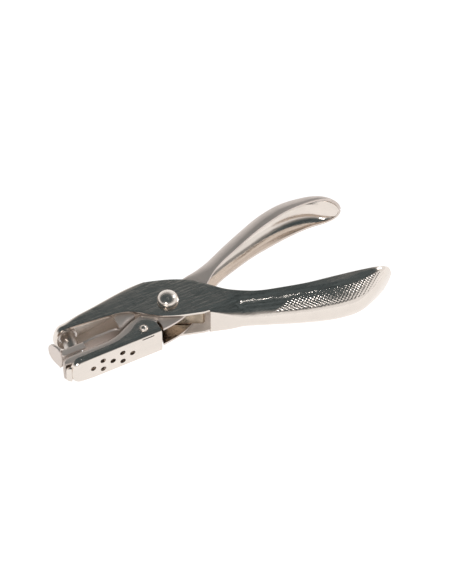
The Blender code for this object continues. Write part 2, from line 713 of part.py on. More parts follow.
def spring_path():
    """The spring's middle line: a leg under the die lever's web, a turn round the rivet, and a leg
    with a curled end that pushes on the punch lever's lower web."""
    end = Vector((WEB_START - 1.1, along(PUNCH_LOW, WEB_START) + 3.5))
    swing = math.degrees(math.acos(SPRING_BEND / end.length))
    leave = math.degrees(math.atan2(end.y, end.x)) - swing + 360
    turn = arc((0, 0), SPRING_BEND, math.degrees(DIE_SLOPE) + 90, leave, 16)
    leg = (turn[0][0] + SPRING_LEG * math.cos(DIE_SLOPE), turn[0][1] + SPRING_LEG * math.sin(DIE_SLOPE))
    run = end - Vector(turn[-1])
    heading = math.degrees(math.atan2(run.y, run.x))
    side = math.radians(heading + 90)
    centre = (end.x + SPRING_CURL * math.cos(side), end.y + SPRING_CURL * math.sin(side))
    return [leg] + turn + [tuple(end)] + arc(centre, SPRING_CURL, heading - 90, heading + 90, 6)[1:]


def return_spring(lever):
    path = spring_path()
    left, right = [], []
    for i, point in enumerate(path):
        ahead = Vector(path[min(i + 1, len(path) - 1)]) - Vector(path[max(i - 1, 0)])
        side = Vector((-ahead.y, ahead.x)).normalized() * SPRING_SHEET / 2
        left.append((point[0] + side.x, point[1] + side.y))
        right.append((point[0] - side.x, point[1] - side.y))
    spring = solid("return_spring", slab(left + right[::-1], -SPRING_HALF, SPRING_HALF), OBJECT)
    spring.parent = lever
    finish(spring, TEMPERED, 0.3)


def main():
    for obj in list(bpy.data.objects):
        bpy.data.objects.remove(obj)
    collection(OBJECT)
    collection("cutters").hide_render = True
    punch_pin(punch_lever())
    lever = die_lever()
    guide_plate(lever)
    guide_rivet(lever)
    chip_catcher(lever)
    catcher_pin(lever)
    pivot_rivet(lever)
    pivot_washer(lever)
    return_spring(lever)


main()
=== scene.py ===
"""Single-hole plier punch of nickel-plated sheet, lying on its side on a pale floor.

Every piece is made in millimetres about the tool's middle plane, and then put in the frame's metres.
X runs from the jaws to the grips, +Y is the punch lever's side of the jaws, and +Z is up.
"""

import json
import math

import bmesh
import bpy
from bpy.props import FloatProperty, FloatVectorProperty, PointerProperty
from mathutils import Matrix, Vector


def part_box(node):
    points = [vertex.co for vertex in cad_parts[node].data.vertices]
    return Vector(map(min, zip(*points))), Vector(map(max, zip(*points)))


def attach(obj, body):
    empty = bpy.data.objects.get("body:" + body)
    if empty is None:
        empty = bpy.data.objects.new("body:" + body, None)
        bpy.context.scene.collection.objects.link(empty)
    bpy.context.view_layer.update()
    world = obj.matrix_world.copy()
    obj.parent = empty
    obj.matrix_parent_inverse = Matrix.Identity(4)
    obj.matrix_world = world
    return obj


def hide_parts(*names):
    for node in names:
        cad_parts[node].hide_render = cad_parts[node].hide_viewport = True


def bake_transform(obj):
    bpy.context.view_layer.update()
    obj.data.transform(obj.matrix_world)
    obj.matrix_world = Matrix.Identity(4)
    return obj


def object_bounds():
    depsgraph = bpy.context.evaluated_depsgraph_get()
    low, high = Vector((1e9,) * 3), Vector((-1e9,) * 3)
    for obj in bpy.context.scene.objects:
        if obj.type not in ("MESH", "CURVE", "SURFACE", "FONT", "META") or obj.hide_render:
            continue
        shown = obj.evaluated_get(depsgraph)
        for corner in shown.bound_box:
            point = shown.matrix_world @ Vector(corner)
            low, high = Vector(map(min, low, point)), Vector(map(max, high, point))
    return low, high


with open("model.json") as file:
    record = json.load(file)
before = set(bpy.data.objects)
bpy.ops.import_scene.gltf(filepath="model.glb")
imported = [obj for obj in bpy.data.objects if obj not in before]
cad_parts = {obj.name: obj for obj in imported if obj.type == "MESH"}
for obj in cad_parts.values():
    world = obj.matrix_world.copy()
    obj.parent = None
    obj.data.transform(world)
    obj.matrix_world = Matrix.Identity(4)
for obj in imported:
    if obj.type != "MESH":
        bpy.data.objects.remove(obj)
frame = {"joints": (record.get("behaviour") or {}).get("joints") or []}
CAD_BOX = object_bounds()

bl_info = {
    "name": "Plier Punch",
    "version": (1, 0, 0),
    "blender": (4, 5, 0),
    "location": "View3D > Sidebar > Punch",
    "description": "Builds a plated plier punch piece by piece around its frame",
    "category": "Add Mesh",
}

MM = 0.001


def frame_mm(node):
    """A frame node's lowest and highest corners, in millimetres."""
    low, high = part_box(node)
    return low / MM, high / MM


LEVER_LOW, LEVER_HIGH = frame_mm("punch_lever")
MIDDLE = (LEVER_LOW.z + LEVER_HIGH.z) / 2
NOSE_X = LEVER_LOW.x
TIP_X = LEVER_HIGH.x
RIVET_TOP = frame_mm("pivot_rivet")[1].z - MIDDLE
HINGE = (frame_mm("catcher_pin")[0] + frame_mm("catcher_pin")[1]) / 2
HINGE_PIN_REACH = frame_mm("catcher_pin")[1].z - MIDDLE
CATCHER_FRONT = NOSE_X - 1.3
CATCHER_REAR = frame_mm("chip_catcher")[1].x
CATCHER_WEB_Y = frame_mm("chip_catcher")[0].y
DIE_NOSE_X = frame_mm("die_lever")[0].x
DIE_TIP_X = frame_mm("die_lever")[1].x
SQUEEZE_DEG = next(j["range_deg"][1] for j in frame["joints"] if j["name"] == "squeeze")

# Sizes shared by the pieces, in millimetres.
JAW_HALF = 6.6
GRIP_SWELL = 2.0
FOLD = 0.9
NOSE_FOLD = 2.6
JAW_WEB_END = -4.0
GRIP_WEB_START = 12.4
GRIP_BLEND = 12.0
TIP_TURNS = (15, 30, 44, 57, 68, 78, 90)
DIE_HALF = 5.2
DIE_Y = -5.8
GUIDE_Y = -1.8
GUIDE_FRONT = -47.8
PIN_X = -41.6
PIN_RADIUS = 3.0

# The levers' edges seen along the pivot: (x, y) through which each runs.
PUNCH_TOP = [
    (-47.3, 9.6), (-45.5, 10.2), (-43.0, 10.3), (-40.0, 10.1), (-36.0, 10.4), (-27.0, 11.5), (-20.0, 12.6),
    (-13.4, 13.5), (-8.5, 13.7), (-4.0, 13.0), (0.0, 11.8),
    (6.0, 9.5), (12.8, 5.6), (18.7, -0.3), (22.6, -4.8), (27.5, -8.5), (34.0, -12.3), (43.0, -15.5),
    (53.0, -18.6), (63.0, -20.6), (73.0, -22.3), (82.5, -24.0), (88.3, -23.6),
]
PUNCH_LOW = [
    (-47.3, 5.9), (-43.0, 5.7), (-37.0, 5.3), (-28.6, 4.4), (-22.2, 3.7), (-16.7, 2.7), (-12.5, -0.4),
    (-9.0, -3.6), (-6.0, -5.8), (0.6, -8.9), (5.0, -10.3), (11.5, -12.5), (20.0, -17.6), (29.0, -21.6),
    (38.0, -25.4), (47.0, -29.0), (56.6, -32.2), (65.0, -33.9), (71.2, -33.7), (78.0, -30.9),
    (84.4, -27.2), (88.3, -24.3),
]
DIE_TOP = [
    (-50.2, -8.4), (-49.8, -7.2), (-48.6, -6.2), (-46.5, -5.8), (-40.0, -5.8), (-30.0, -5.8), (-25.4, -5.0),
    (-21.0, -2.9), (-16.5, -0.9), (-12.4, 0.3), (0.0, 5.0), (11.0, 9.1), (17.6, 11.2), (26.5, 15.2),
    (34.7, 18.7), (42.9, 21.8), (50.8, 24.5), (58.5, 26.2), (65.0, 26.7), (71.6, 26.0), (77.0, 24.4),
    (82.0, 21.4), (85.2, 18.4), (87.0, 15.9),
]
DIE_LOW = [
    (-50.2, -8.8), (-46.0, -10.0), (-30.0, -10.8), (-15.0, -11.3), (-9.8, -11.3), (-3.0, -10.6), (2.6, -9.3),
    (9.9, -5.6), (12.1, -3.4), (15.5, -0.9), (19.0, 2.2), (23.8, 6.0), (29.0, 8.7), (36.0, 11.3),
    (46.0, 14.7), (55.0, 16.9), (64.0, 18.4), (75.0, 18.6), (82.0, 17.2), (87.0, 15.2),
]
CATCHER_TOP = [
    (-49.2, -10.5), (-47.2, -10.3), (-45.9, -9.9), (-44.7, -9.4), (-43.0, -9.4), (-30.0, -9.25),
    (-25.8, -8.9), (-22.0, -7.6), (-19.2, -6.6),
]
GRIP_SHARE = [
    (12.0, 0.0), (20.0, 0.05), (34.0, 0.3), (43.0, 0.55), (53.0, 0.85), (62.0, 1.0), (74.0, 0.92),
    (88.3, 0.7),
]


# ------------------------------------------------------------------ settings


class PUNCH_PG_sizes(bpy.types.PropertyGroup):
    sheet: FloatProperty(
        name="Lever sheet", description="Thickness of both levers", default=1.1 * MM, unit="LENGTH"
    )
    catcher_sheet: FloatProperty(
        name="Catcher sheet", description="Thickness of the chip catcher", default=0.9 * MM, unit="LENGTH"
    )
    guide_sheet: FloatProperty(
        name="Guide sheet", description="Thickness of the guide", default=1.0 * MM, unit="LENGTH"
    )
    spring_sheet: FloatProperty(
        name="Spring sheet", description="Thickness of the leaf spring", default=0.6 * MM, unit="LENGTH"
    )
    knurl_pitch: FloatProperty(
        name="Knurl pitch", description="Distance between the grip's grooves", default=1.1 * MM,
        unit="LENGTH",
    )
    knurl_depth: FloatProperty(
        name="Knurl depth", description="Depth of the grip's grooves", default=0.16 * MM, unit="LENGTH"
    )
    vent_pitch: FloatProperty(
        name="Vent pitch", description="Distance between the catcher's holes", default=4.95 * MM,
        unit="LENGTH",
    )


class PUNCH_PG_finishes(bpy.types.PropertyGroup):
    bright: FloatVectorProperty(
        name="Bright plate", description="Polished nickel", subtype="COLOR", default=(0.76, 0.69, 0.63)
    )
    satin: FloatVectorProperty(
        name="Satin plate", description="Satin nickel", subtype="COLOR", default=(0.7, 0.62, 0.57)
    )
    tool_steel: FloatVectorProperty(
        name="Tool steel", description="The ground punch pin", subtype="COLOR", default=(0.62, 0.57, 0.53)
    )
    spring: FloatVectorProperty(
        name="Spring steel", description="The tempered leaf", subtype="COLOR", default=(0.42, 0.34, 0.26)
    )
    floor: FloatVectorProperty(
        name="Floor", description="The pale floor", subtype="COLOR", default=(0.3, 0.3, 0.3)
    )


def sizes_mm(context):
    """The size settings in millimetres, by name."""
    settings = context.scene.punch_sizes
    return {name: getattr(settings, name) / MM for name in PUNCH_PG_sizes.__annotations__}


# ----------------------------------------------------------------- materials


def node_group(name, inputs, outputs):
    """An empty shader group with float or vector inputs and outputs, given as (name, type, default)."""
    group = bpy.data.node_groups.new(name, "ShaderNodeTree")
    for label, kind, default in inputs:
        made = group.interface.new_socket(label, in_out="INPUT", socket_type=kind)
        if default is not None:
            made.default_value = default
    for label, kind in outputs:
        group.interface.new_socket(label, in_out="OUTPUT", socket_type=kind)
    return group, group.nodes.new("NodeGroupInput"), group.nodes.new("NodeGroupOutput")


def noise(tree, vector, scale, detail):
    made = tree.nodes.new("ShaderNodeTexNoise")
    made.inputs["Scale"].default_value = scale
    made.inputs["Detail"].default_value = detail
    tree.links.new(vector, made.inputs["Vector"])
    return made.outputs["Fac"]


def spread(tree, value, low, high, to_low=0.0, to_high=1.0):
    """value from low to high, mapped to to_low..to_high and kept in it."""
    made = tree.nodes.new("ShaderNodeMapRange")
    for socket, number in zip(("From Min", "From Max", "To Min", "To Max"), (low, high, to_low, to_high)):
        made.inputs[socket].default_value = number
    tree.links.new(value, made.inputs["Value"])
    return made.outputs["Result"]


def math_node(tree, operation, first, second):
    made = tree.nodes.new("ShaderNodeMath")
    made.operation = operation
    for socket, value in zip(made.inputs, (first, second)):
        if isinstance(value, (int, float)):
            socket.default_value = value
        else:
            tree.links.new(value, socket)
    return made.outputs[0]


CLOUD_RISE = 9.0
DENT_DEPTH = 0.02 * MM


def plate_wear():
    """Handling marks on plated sheet: cloudy smudges, fine drawn lines and a slight unevenness."""
    found = bpy.data.node_groups.get("plate wear")
    if found:
        return found
    group, start, end = node_group(
        "plate wear",
        [
            ("Position", "NodeSocketVector", None),
            ("Cloud size", "NodeSocketFloat", 90.0),
            ("Line size", "NodeSocketFloat", 900.0),
        ],
        [("Smudge", "NodeSocketFloat"), ("Lines", "NodeSocketFloat"), ("Height", "NodeSocketFloat")],
    )
    cloud = group.nodes.new("ShaderNodeTexNoise")
    cloud.inputs["Detail"].default_value = 4
    cloud.inputs["Roughness"].default_value = 0.6
    group.links.new(start.outputs["Position"], cloud.inputs["Vector"])
    group.links.new(start.outputs["Cloud size"], cloud.inputs["Scale"])
    stretch = group.nodes.new("ShaderNodeMapping")
    stretch.inputs["Scale"].default_value = (0.12, 1.0, 1.0)
    group.links.new(start.outputs["Position"], stretch.inputs["Vector"])
    lines = group.nodes.new("ShaderNodeTexNoise")
    lines.inputs["Detail"].default_value = 3
    group.links.new(stretch.outputs["Vector"], lines.inputs["Vector"])
    group.links.new(start.outputs["Line size"], lines.inputs["Scale"])
    smudge = spread(group, cloud.outputs["Fac"], 0.45, 0.8)
    drawn = spread(group, lines.outputs["Fac"], 0.35, 0.65)
    group.links.new(smudge, end.inputs["Smudge"])
    group.links.new(drawn, end.inputs["Lines"])
    height = math_node(group, "MULTIPLY_ADD", cloud.outputs["Fac"], CLOUD_RISE)
    group.links.new(drawn, height.node.inputs[2])
    group.links.new(height, end.inputs["Height"])
    return group


def metal(name, colour, tint, roughness, smudged, bump, cloud=90.0, line=900.0, metallic=1.0):
    """A plated metal: tint is its colour where it is handled, smudged how much rougher it is there."""
    found = bpy.data.materials.get(name)
    if found:
        return found
    made = bpy.data.materials.new(name)
    made.use_nodes = True
    tree = made.node_tree
    shader = tree.nodes["Principled BSDF"]
    shader.inputs["Metallic"].default_value = metallic
    place = tree.nodes.new("ShaderNodeTexCoord")
    wear = tree.nodes.new("ShaderNodeGroup")
    wear.node_tree = plate_wear()
    wear.inputs["Cloud size"].default_value = cloud
    wear.inputs["Line size"].default_value = line
    tree.links.new(place.outputs["Object"], wear.inputs["Position"])
    mix = tree.nodes.new("ShaderNodeMix")
    mix.data_type = "RGBA"
    mix.inputs["A"].default_value = (*colour, 1)
    mix.inputs["B"].default_value = (*tint, 1)
    tree.links.new(wear.outputs["Smudge"], mix.inputs["Factor"])
    tree.links.new(mix.outputs["Result"], shader.inputs["Base Color"])
    uneven = math_node(tree, "MULTIPLY_ADD", wear.outputs["Smudge"], smudged)
    drawn = math_node(tree, "MULTIPLY_ADD", wear.outputs["Lines"], smudged * 0.5)
    drawn.node.inputs[2].default_value = roughness
    tree.links.new(drawn, uneven.node.inputs[2])
    tree.links.new(uneven, shader.inputs["Roughness"])
    dents = tree.nodes.new("ShaderNodeBump")
    dents.inputs["Strength"].default_value = bump
    dents.inputs["Distance"].default_value = DENT_DEPTH
    tree.links.new(wear.outputs["Height"], dents.inputs["Height"])
    tree.links.new(dents.outputs["Normal"], shader.inputs["Normal"])
    return made


def darker(colour, share):
    return tuple(channel * share for channel in colour)


def bright_plate(context):
    colour = context.scene.punch_finishes.bright
    return metal("bright plate", colour, darker(colour, 0.95), 0.07, 0.13, 0.7)


def dull_plate(context):
    """The inside of a polished sheet, where the polishing wheel doesn't reach."""
    colour = darker(context.scene.punch_finishes.bright, 1.12)
    return metal("dull plate", colour, darker(colour, 0.92), 0.4, 0.1, 0.3, metallic=0.4)


def satin_plate(context):
    colour = context.scene.punch_finishes.satin
    return metal("satin plate", colour, darker(colour, 0.88), 0.44, 0.08, 0.5, metallic=0.75)


def hollow_plate(context):
    """The smooth hollow of the satin lever."""
    colour = context.scene.punch_finishes.bright
    return metal("hollow plate", colour, darker(colour, 0.9), 0.12, 0.06, 0.3)


def rivet_plate(context):
    colour = context.scene.punch_finishes.bright
    return metal("rivet plate", colour, darker(colour, 0.9), 0.2, 0.08, 0.4, 300.0, 2500.0)


def ground_steel(context):
    colour = context.scene.punch_finishes.tool_steel
    return metal("ground steel", colour, darker(colour, 0.85), 0.3, 0.1, 0.4, 300.0, 4000.0)


def tempered_steel(context):
    colour = context.scene.punch_finishes.spring
    return metal("tempered steel", colour, darker(colour, 0.6), 0.25, 0.12, 0.4, 200.0, 1500.0)


# ------------------------------------------------------------- making shapes


def along(keys, x):
    """The height at x of a smooth line through keys."""
    if x <= keys[0][0]:
        return keys[0][1]
    if x >= keys[-1][0]:
        return keys[-1][1]
    last = len(keys) - 1
    i = max(k for k in range(last) if keys[k][0] <= x)

    def slope(k):
        low, high = keys[max(k - 1, 0)], keys[min(k + 1, last)]
        return (high[1] - low[1]) / (high[0] - low[0])

    (x0, y0), (x1, y1) = keys[i], keys[i + 1]
    t = (x - x0) / (x1 - x0)
    ease = t * t * (3 - 2 * t)
    lean = slope(i) * t * (1 - t) ** 2 + slope(i + 1) * t * t * (t - 1)
    return y0 * (1 - ease) + y1 * ease + lean * (x1 - x0)


def rounding(past, length):
    """1 until past is 0, then falling to 0 as a quarter ellipse while past grows to length."""
    share = min(max(past / length, 0.0), 1.0)
    return math.sqrt(1 - share * share)


def ramp(x, start, length):
    return min(max((x - start) / length, 0.0), 1.0)


def steps(start, end, count):
    return [start + (end - start) * i / count for i in range(count + 1)]


def grid(columns, rows, place, keep):
    """A sheet of columns by rows points, each at place(column, row), with the cells where keep is true."""
    bm = bmesh.new()
    bmesh.ops.create_grid(bm, x_segments=columns - 1, y_segments=rows - 1, size=0.5)
    gone = []
    for face in bm.faces:
        middle = face.calc_center_median()
        column = int((middle.x + 0.5) * (columns - 1))
        row = int((middle.y + 0.5) * (rows - 1))
        if not keep(column, row):
            gone.append(face)
    spots = {}
    for vert in bm.verts:
        column = round((vert.co.x + 0.5) * (columns - 1))
        row = round((vert.co.y + 0.5) * (rows - 1))
        spots[vert] = (column, row)
    flow = bm.loops.layers.uv.new("flow")
    run = [[0.0] * rows for _ in range(columns)]
    travel = [0.0] * columns
    for column in range(columns):
        for row in range(1, rows):
            step = place(column, row) - place(column, row - 1)
            run[column][row] = run[column][row - 1] + step.length
        if column:
            ahead = place(column, rows - 1).x - place(column - 1, rows - 1).x
            travel[column] = travel[column - 1] + abs(ahead)
    for vert, (column, row) in spots.items():
        vert.co = place(column, row)
        for loop in vert.link_loops:
            loop[flow].uv = (travel[column], run[column][row])
    bmesh.ops.delete(bm, geom=gone, context="FACES")
    return bm


def both_sides(bm, outward):
    """Mirrors a half sheet in the middle plane, and turns its faces so that those furthest along
    outward look that way."""
    everything = bm.verts[:] + bm.edges[:] + bm.faces[:]
    bmesh.ops.mirror(bm, geom=everything, matrix=Matrix.Identity(4), merge_dist=0.001, axis="Z")
    bmesh.ops.remove_doubles(bm, verts=bm.verts, dist=0.002)
    bmesh.ops.recalc_face_normals(bm, faces=bm.faces)
    bm.normal_update()
    outward = Vector(outward)
    furthest = max(bm.faces, key=lambda face: face.calc_center_median().dot(outward))
    if furthest.normal.dot(outward) < 0:
        bmesh.ops.reverse_faces(bm, faces=bm.faces)
    return bm


def piece(name, bm, material, angle=35):
    """An object in the frame made of bm, which is in millimetres about the middle plane."""
    bmesh.ops.translate(bm, vec=(0, 0, MIDDLE), verts=bm.verts)
    bmesh.ops.scale(bm, vec=(MM, MM, MM), verts=bm.verts)
    mesh = bpy.data.meshes.new(name)
    bm.to_mesh(mesh)
    bm.free()
    mesh.shade_smooth()
    if angle:
        mesh.set_sharp_from_angle(angle=math.radians(angle))
    obj = bpy.data.objects.new(name, mesh)
    bpy.context.scene.collection.objects.link(obj)
    if material:
        mesh.materials.append(material)
    return obj


def thicken(obj, sheet, levels, crease=0.6, inside=None):
    """Gives an open sheet its thickness, inwards from its faces, and smooths it; inside is the
    material of its inner faces."""
    wall = obj.modifiers.new("sheet", "SOLIDIFY")
    if inside:
        obj.data.materials.append(inside)
        wall.material_offset = 1
    wall.thickness = sheet * MM
    wall.offset = -1
    wall.use_even_offset = True
    wall.edge_crease_inner = crease
    wall.edge_crease_outer = crease
    smooth = obj.modifiers.new("smooth", "SUBSURF")
    smooth.levels = levels
    smooth.render_levels = levels


def settle(obj):
    """Makes obj's modifiers part of its mesh."""
    graph = bpy.context.evaluated_depsgraph_get()
    made = bpy.data.meshes.new_from_object(obj.evaluated_get(graph))
    old = obj.data
    obj.modifiers.clear()
    obj.data = made
    name = old.name
    bpy.data.meshes.remove(old)
    made.name = name


def cut(obj, bm):
    """Cuts bm out of obj."""
    tool = piece("tool", bm, None, 0)
    modifier = obj.modifiers.new("cut", "BOOLEAN")
    modifier.operation = "DIFFERENCE"
    modifier.object = tool
    modifier.solver = "EXACT"
    settle(obj)
    bpy.data.objects.remove(tool)


def add(obj, bm):
    """Adds bm to obj as a further shell of it."""
    extra = piece("extra", bm, None, 0)
    joined = bmesh.new()
    joined.from_mesh(obj.data)
    joined.from_mesh(extra.data)
    joined.to_mesh(obj.data)
    joined.free()
    bpy.data.objects.remove(extra)


def resharpen(obj, angle=30):
    obj.data.shade_smooth()
    obj.data.set_sharp_from_angle(angle=math.radians(angle))


def post(radius, depth, place, segments=48):
    bm = bmesh.new()
    bmesh.ops.create_cone(
        bm, cap_ends=True, segments=segments, radius1=radius, radius2=radius, depth=depth, matrix=place
    )
    return bm


def along_y(x, y, z=0.0):
    return Matrix.Translation((x, y, z)) @ Matrix.Rotation(math.pi / 2, 4, "X")


def spun(profile, place=Matrix.Identity(4), turns=64):
    """A solid of revolution of (radius, height) points about place's Z."""
    bm = bmesh.new()
    verts = [bm.verts.new((radius, 0, height)) for radius, height in profile]
    edges = [bm.edges.new(pair) for pair in zip(verts, verts[1:])]
    whole = 2 * math.pi
    bmesh.ops.spin(
        bm, geom=verts + edges, cent=(0, 0, 0), axis=(0, 0, 1), angle=whole, steps=turns, use_merge=True
    )
    bmesh.ops.remove_doubles(bm, verts=bm.verts, dist=0.0005)
    bmesh.ops.recalc_face_normals(bm, faces=bm.faces)
    bmesh.ops.transform(bm, matrix=place, verts=bm.verts)
    return bm


def arc(centre, radius, start, end, count):
    """Points of an arc, by degrees."""
    points = []
    for angle in steps(start, end, count):
        turn = math.radians(angle)
        points.append((centre[0] + radius * math.cos(turn), centre[1] + radius * math.sin(turn)))
    return points


def cap(radius, height, seat, count=10):
    """The profile of a spherical cap on seat, from its top to its rim."""
    sphere = (radius**2 + height**2) / (2 * height)
    reach = math.degrees(math.asin(radius / sphere))
    points = arc((0, seat + height - sphere), sphere, 90, 90 - reach, count)
    points[0] = (0, seat + height)
    return points


def dress(obj, body, slot, *nodes):
    """Puts obj on its body in place of the frame's nodes."""
    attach(obj, body)
    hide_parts(*nodes)
    return obj


# -------------------------------------------------------------- punch lever


def grip_extra(x):
    return GRIP_SWELL * along(GRIP_SHARE, x)


def tip_places(end, length):
    """Columns that grow closer over the last length of a grip, just past its end."""
    return [end - length + (length + 0.1) * math.sin(math.radians(turn)) for turn in TIP_TURNS]


PUNCH_TIP = 9.0
PUNCH_NOSE = 4.6


def punch_half(x):
    tip = rounding(x - (TIP_X - PUNCH_TIP), PUNCH_TIP)
    return (JAW_HALF + grip_extra(x)) * (0.1 + 0.9 * tip)


NOSE_LEVELS = 6
NOSE_CORNER = 45
NOSE_SIDES = (58, 74)


def nose_point(front, length, half, turn, level, web_y, edge_y, bend):
    """A point of a rounded box nose: turn runs from 0 degrees, the middle of the front, to 90, where the
    side begins; level 0 is the web's edge and NOSE_LEVELS the free edge."""
    cos, sin = math.cos(math.radians(turn)), math.sin(math.radians(turn))
    out = Vector((front + length * (1 - cos), web_y, half * sin))
    inward = Vector((cos / length, 0, -sin / half)).normalized()
    side = 1 if edge_y > web_y else -1
    if level < 2:
        lean = math.radians(45 * level)
        inset, drop = bend * (1 - math.sin(lean)), bend * (1 - math.cos(lean))
    else:
        share = (level - 2) / (NOSE_LEVELS - 2)
        inset, drop = 0.0, bend + (abs(edge_y - web_y) - bend) * share
    return out + inward * inset + Vector((0, side * drop, 0))


def nose_turn(column, row):
    """How far round the nose a grid point is: the first columns are the front wall, the next the sides."""
    if column <= NOSE_LEVELS:
        return NOSE_CORNER * min(row / 2, 1.0)
    return NOSE_SIDES[column - NOSE_LEVELS - 1]


def nose_level(column, row):
    return NOSE_LEVELS - column if column < NOSE_LEVELS else max(row - 2, 0)


def punch_section(x):
    """The punch lever's half section at x: 15 points from the upper web to the lower one."""
    half = punch_half(x)
    top, low = along(PUNCH_TOP, x), along(PUNCH_LOW, x)
    bend = FOLD + (NOSE_FOLD - FOLD) * (1 - ramp(x, NOSE_X + 5.0, 6.0))
    bend_top = bend * (1 - 0.9 * ramp(x, JAW_WEB_END - 5.0, 5.0))
    blend = ramp(x, GRIP_WEB_START, GRIP_BLEND)
    across = FOLD + (half * 0.96 - FOLD) * blend
    upright = (FOLD + (9.5 - FOLD) * blend) * ramp(x, GRIP_WEB_START - 2.0, 2.0)
    upright = min(upright, (top - low) * 0.85)
    points = [(0, top), ((half - bend_top) * 0.55, top), (half - bend_top, top)]
    slant = bend_top * (1 - math.sqrt(0.5))
    points.append((half - slant, top - slant))
    for share in steps(0, 1, 4):
        points.append((half, top - bend_top - (top - bend_top - low - upright) * share))
    for turn in steps(15, 75, 4):
        angle = math.radians(turn)
        points.append((half - across + across * math.cos(angle), low + upright - upright * math.sin(angle)))
    points.append((0, low))
    return points


def punch_sheet():
    length = PUNCH_NOSE
    jaw = [NOSE_X + length, -40.5, -38.0, -35.0, -31.0, -27.0, -23.0, -19.0, -15.0, -11.0, -7.5, -5.0]
    jaw.append(JAW_WEB_END)
    pivot = [-2.2, 0.5, 3.0, 5.5, 8.0, 10.4, GRIP_WEB_START]
    grip = steps(13.6, TIP_X - PUNCH_TIP, 33) + tip_places(TIP_X, PUNCH_TIP)
    first = NOSE_LEVELS + 1 + len(NOSE_SIDES)
    places = jaw + pivot + grip
    web_end = first + len(jaw) - 1
    web_start = first + len(jaw) + len(pivot) - 1

    def place(column, row):
        if column < first:
            turn, level = nose_turn(column, row), nose_level(column, row)
            x = NOSE_X + length * (1 - math.cos(math.radians(turn)))
            web_y, edge_y = along(PUNCH_TOP, max(x, NOSE_X + 1.5)), along(PUNCH_LOW, x)
            point = nose_point(NOSE_X, length, JAW_HALF, turn, level, web_y, edge_y, NOSE_FOLD)
            if column > NOSE_LEVELS and row < 2:
                point.z *= (0.0, 0.55)[row]
            return point
        x = places[column - first]
        z, y = punch_section(x)[row]
        return Vector((x, y, z))

    def keep(column, row):
        if column < NOSE_LEVELS:
            return row < 2
        if row < 4:
            return column < web_end
        if row < 8:
            return True
        return column >= web_start

    bm = grid(first + len(places), 15, place, keep)
    bmesh.ops.remove_doubles(bm, verts=bm.verts, dist=0.002)
    return both_sides(bm, (0, -1, 0))


KNURL_START, KNURL_END = 36.0, 85.0
KNURL_HIGH, KNURL_LOW = 0.44, 0.87


def knurl(obj, pitch, depth):
    """Cuts the diamond grooves into both flanks of the grip."""
    bm = bmesh.new()
    bm.from_mesh(obj.data)
    flow = bm.loops.layers.uv.active

    def inside(point, normal):
        """How fully the knurl covers a point of the sheet, from 0 to 1."""
        x, y, z = point.x / MM, point.y / MM, point.z / MM - MIDDLE
        top, low = along(PUNCH_TOP, x), along(PUNCH_LOW, x)
        deep = (top - y) / max(top - low, 0.1)
        if normal.z * z <= 0 or abs(z) < 1:
            return 0.0
        start = KNURL_START + 8.0 * (0.86 - deep) / 0.4
        ends = min(ramp(x, start, 1.2), ramp(-x, -KNURL_END, 2.0))
        return min(ends, ramp(deep, KNURL_HIGH, 0.03), ramp(-deep, -KNURL_LOW, 0.03))

    zone = []
    for face in bm.faces:
        if inside(face.calc_center_median(), face.normal) > 0:
            zone.append(face)
    edges = list({edge for face in zone for edge in face.edges})
    bmesh.ops.subdivide_edges(bm, edges=edges, cuts=3, use_grid_fill=True)
    bm.normal_update()
    across = pitch * math.sqrt(2)
    moves = []
    for vert in bm.verts:
        if not vert.link_loops:
            continue
        cover = inside(vert.co, vert.normal)
        if cover <= 0:
            continue
        u, v = vert.link_loops[0][flow].uv
        first = (u + v) / across
        second = (u - v) / across
        ridge = min(abs(first % 1 - 0.5), abs(second % 1 - 0.5)) * 2
        moves.append((vert, vert.normal * (-depth * MM * cover * max(1 - ridge * 1.5, 0.0))))
    for vert, move in moves:
        vert.co += move
    bm.to_mesh(obj.data)
    bm.free()


class PUNCH_OT_punch_lever(bpy.types.Operator):
    """The outer lever: web on top at the jaw, web underneath at the knurled grip"""

    bl_idname = "punch.punch_lever"
    bl_label = "Punch lever"

    def execute(self, context):
        sizes = sizes_mm(context)
        lever = piece("lever_punch", punch_sheet(), bright_plate(context), 0)
        thicken(lever, sizes["sheet"], 2, inside=dull_plate(context))
        settle(lever)
        knurl(lever, sizes["knurl_pitch"], sizes["knurl_depth"])
        resharpen(lever)
        dress(lever, "punch_lever", "bright_nickel", "punch_lever")
        return {"FINISHED"}


class PUNCH_OT_punch_pin(bpy.types.Operator):
    """The ground pin with its collar, square to the die when the levers are closed"""

    bl_idname = "punch.punch_pin"
    bl_label = "Punch pin"

    def execute(self, context):
        close = math.radians(SQUEEZE_DEG)
        top = along(PUNCH_TOP, PIN_X) - 2.2
        crown = (top + PIN_X * math.sin(close)) / math.cos(close)
        tip = DIE_Y - 2.6
        collar = PIN_RADIUS + 0.9
        bevel = 0.3
        neck = crown - 1.7
        marks = 26
        profile = [(0, crown)] + arc((collar - bevel, crown - bevel), bevel, 90, 0, 4)
        profile += [(collar, crown - 1.2), (PIN_RADIUS + 0.15, crown - 1.35), (PIN_RADIUS, neck)]
        turned = (neck - tip) / marks
        for i in range(1, marks):
            profile.append((PIN_RADIUS - 0.03 * (i % 2), neck - turned * i))
        profile += [(PIN_RADIUS, tip), (PIN_RADIUS - 0.5, tip), (0, tip + 0.6)]
        stand = Matrix.Translation((PIN_X, 0, 0)) @ Matrix.Rotation(-math.pi / 2, 4, "X")
        shape = spun(profile, Matrix.Rotation(-close, 4, "Z") @ stand)
        pin = piece("pin_punch", shape, ground_steel(context))
        dress(pin, "punch_lever", "punch_steel", "punch_pin")
        return {"FINISHED"}


# ---------------------------------------------------------------- die lever


DIE_TIP = 8.0
DIE_NOSE = 2.5


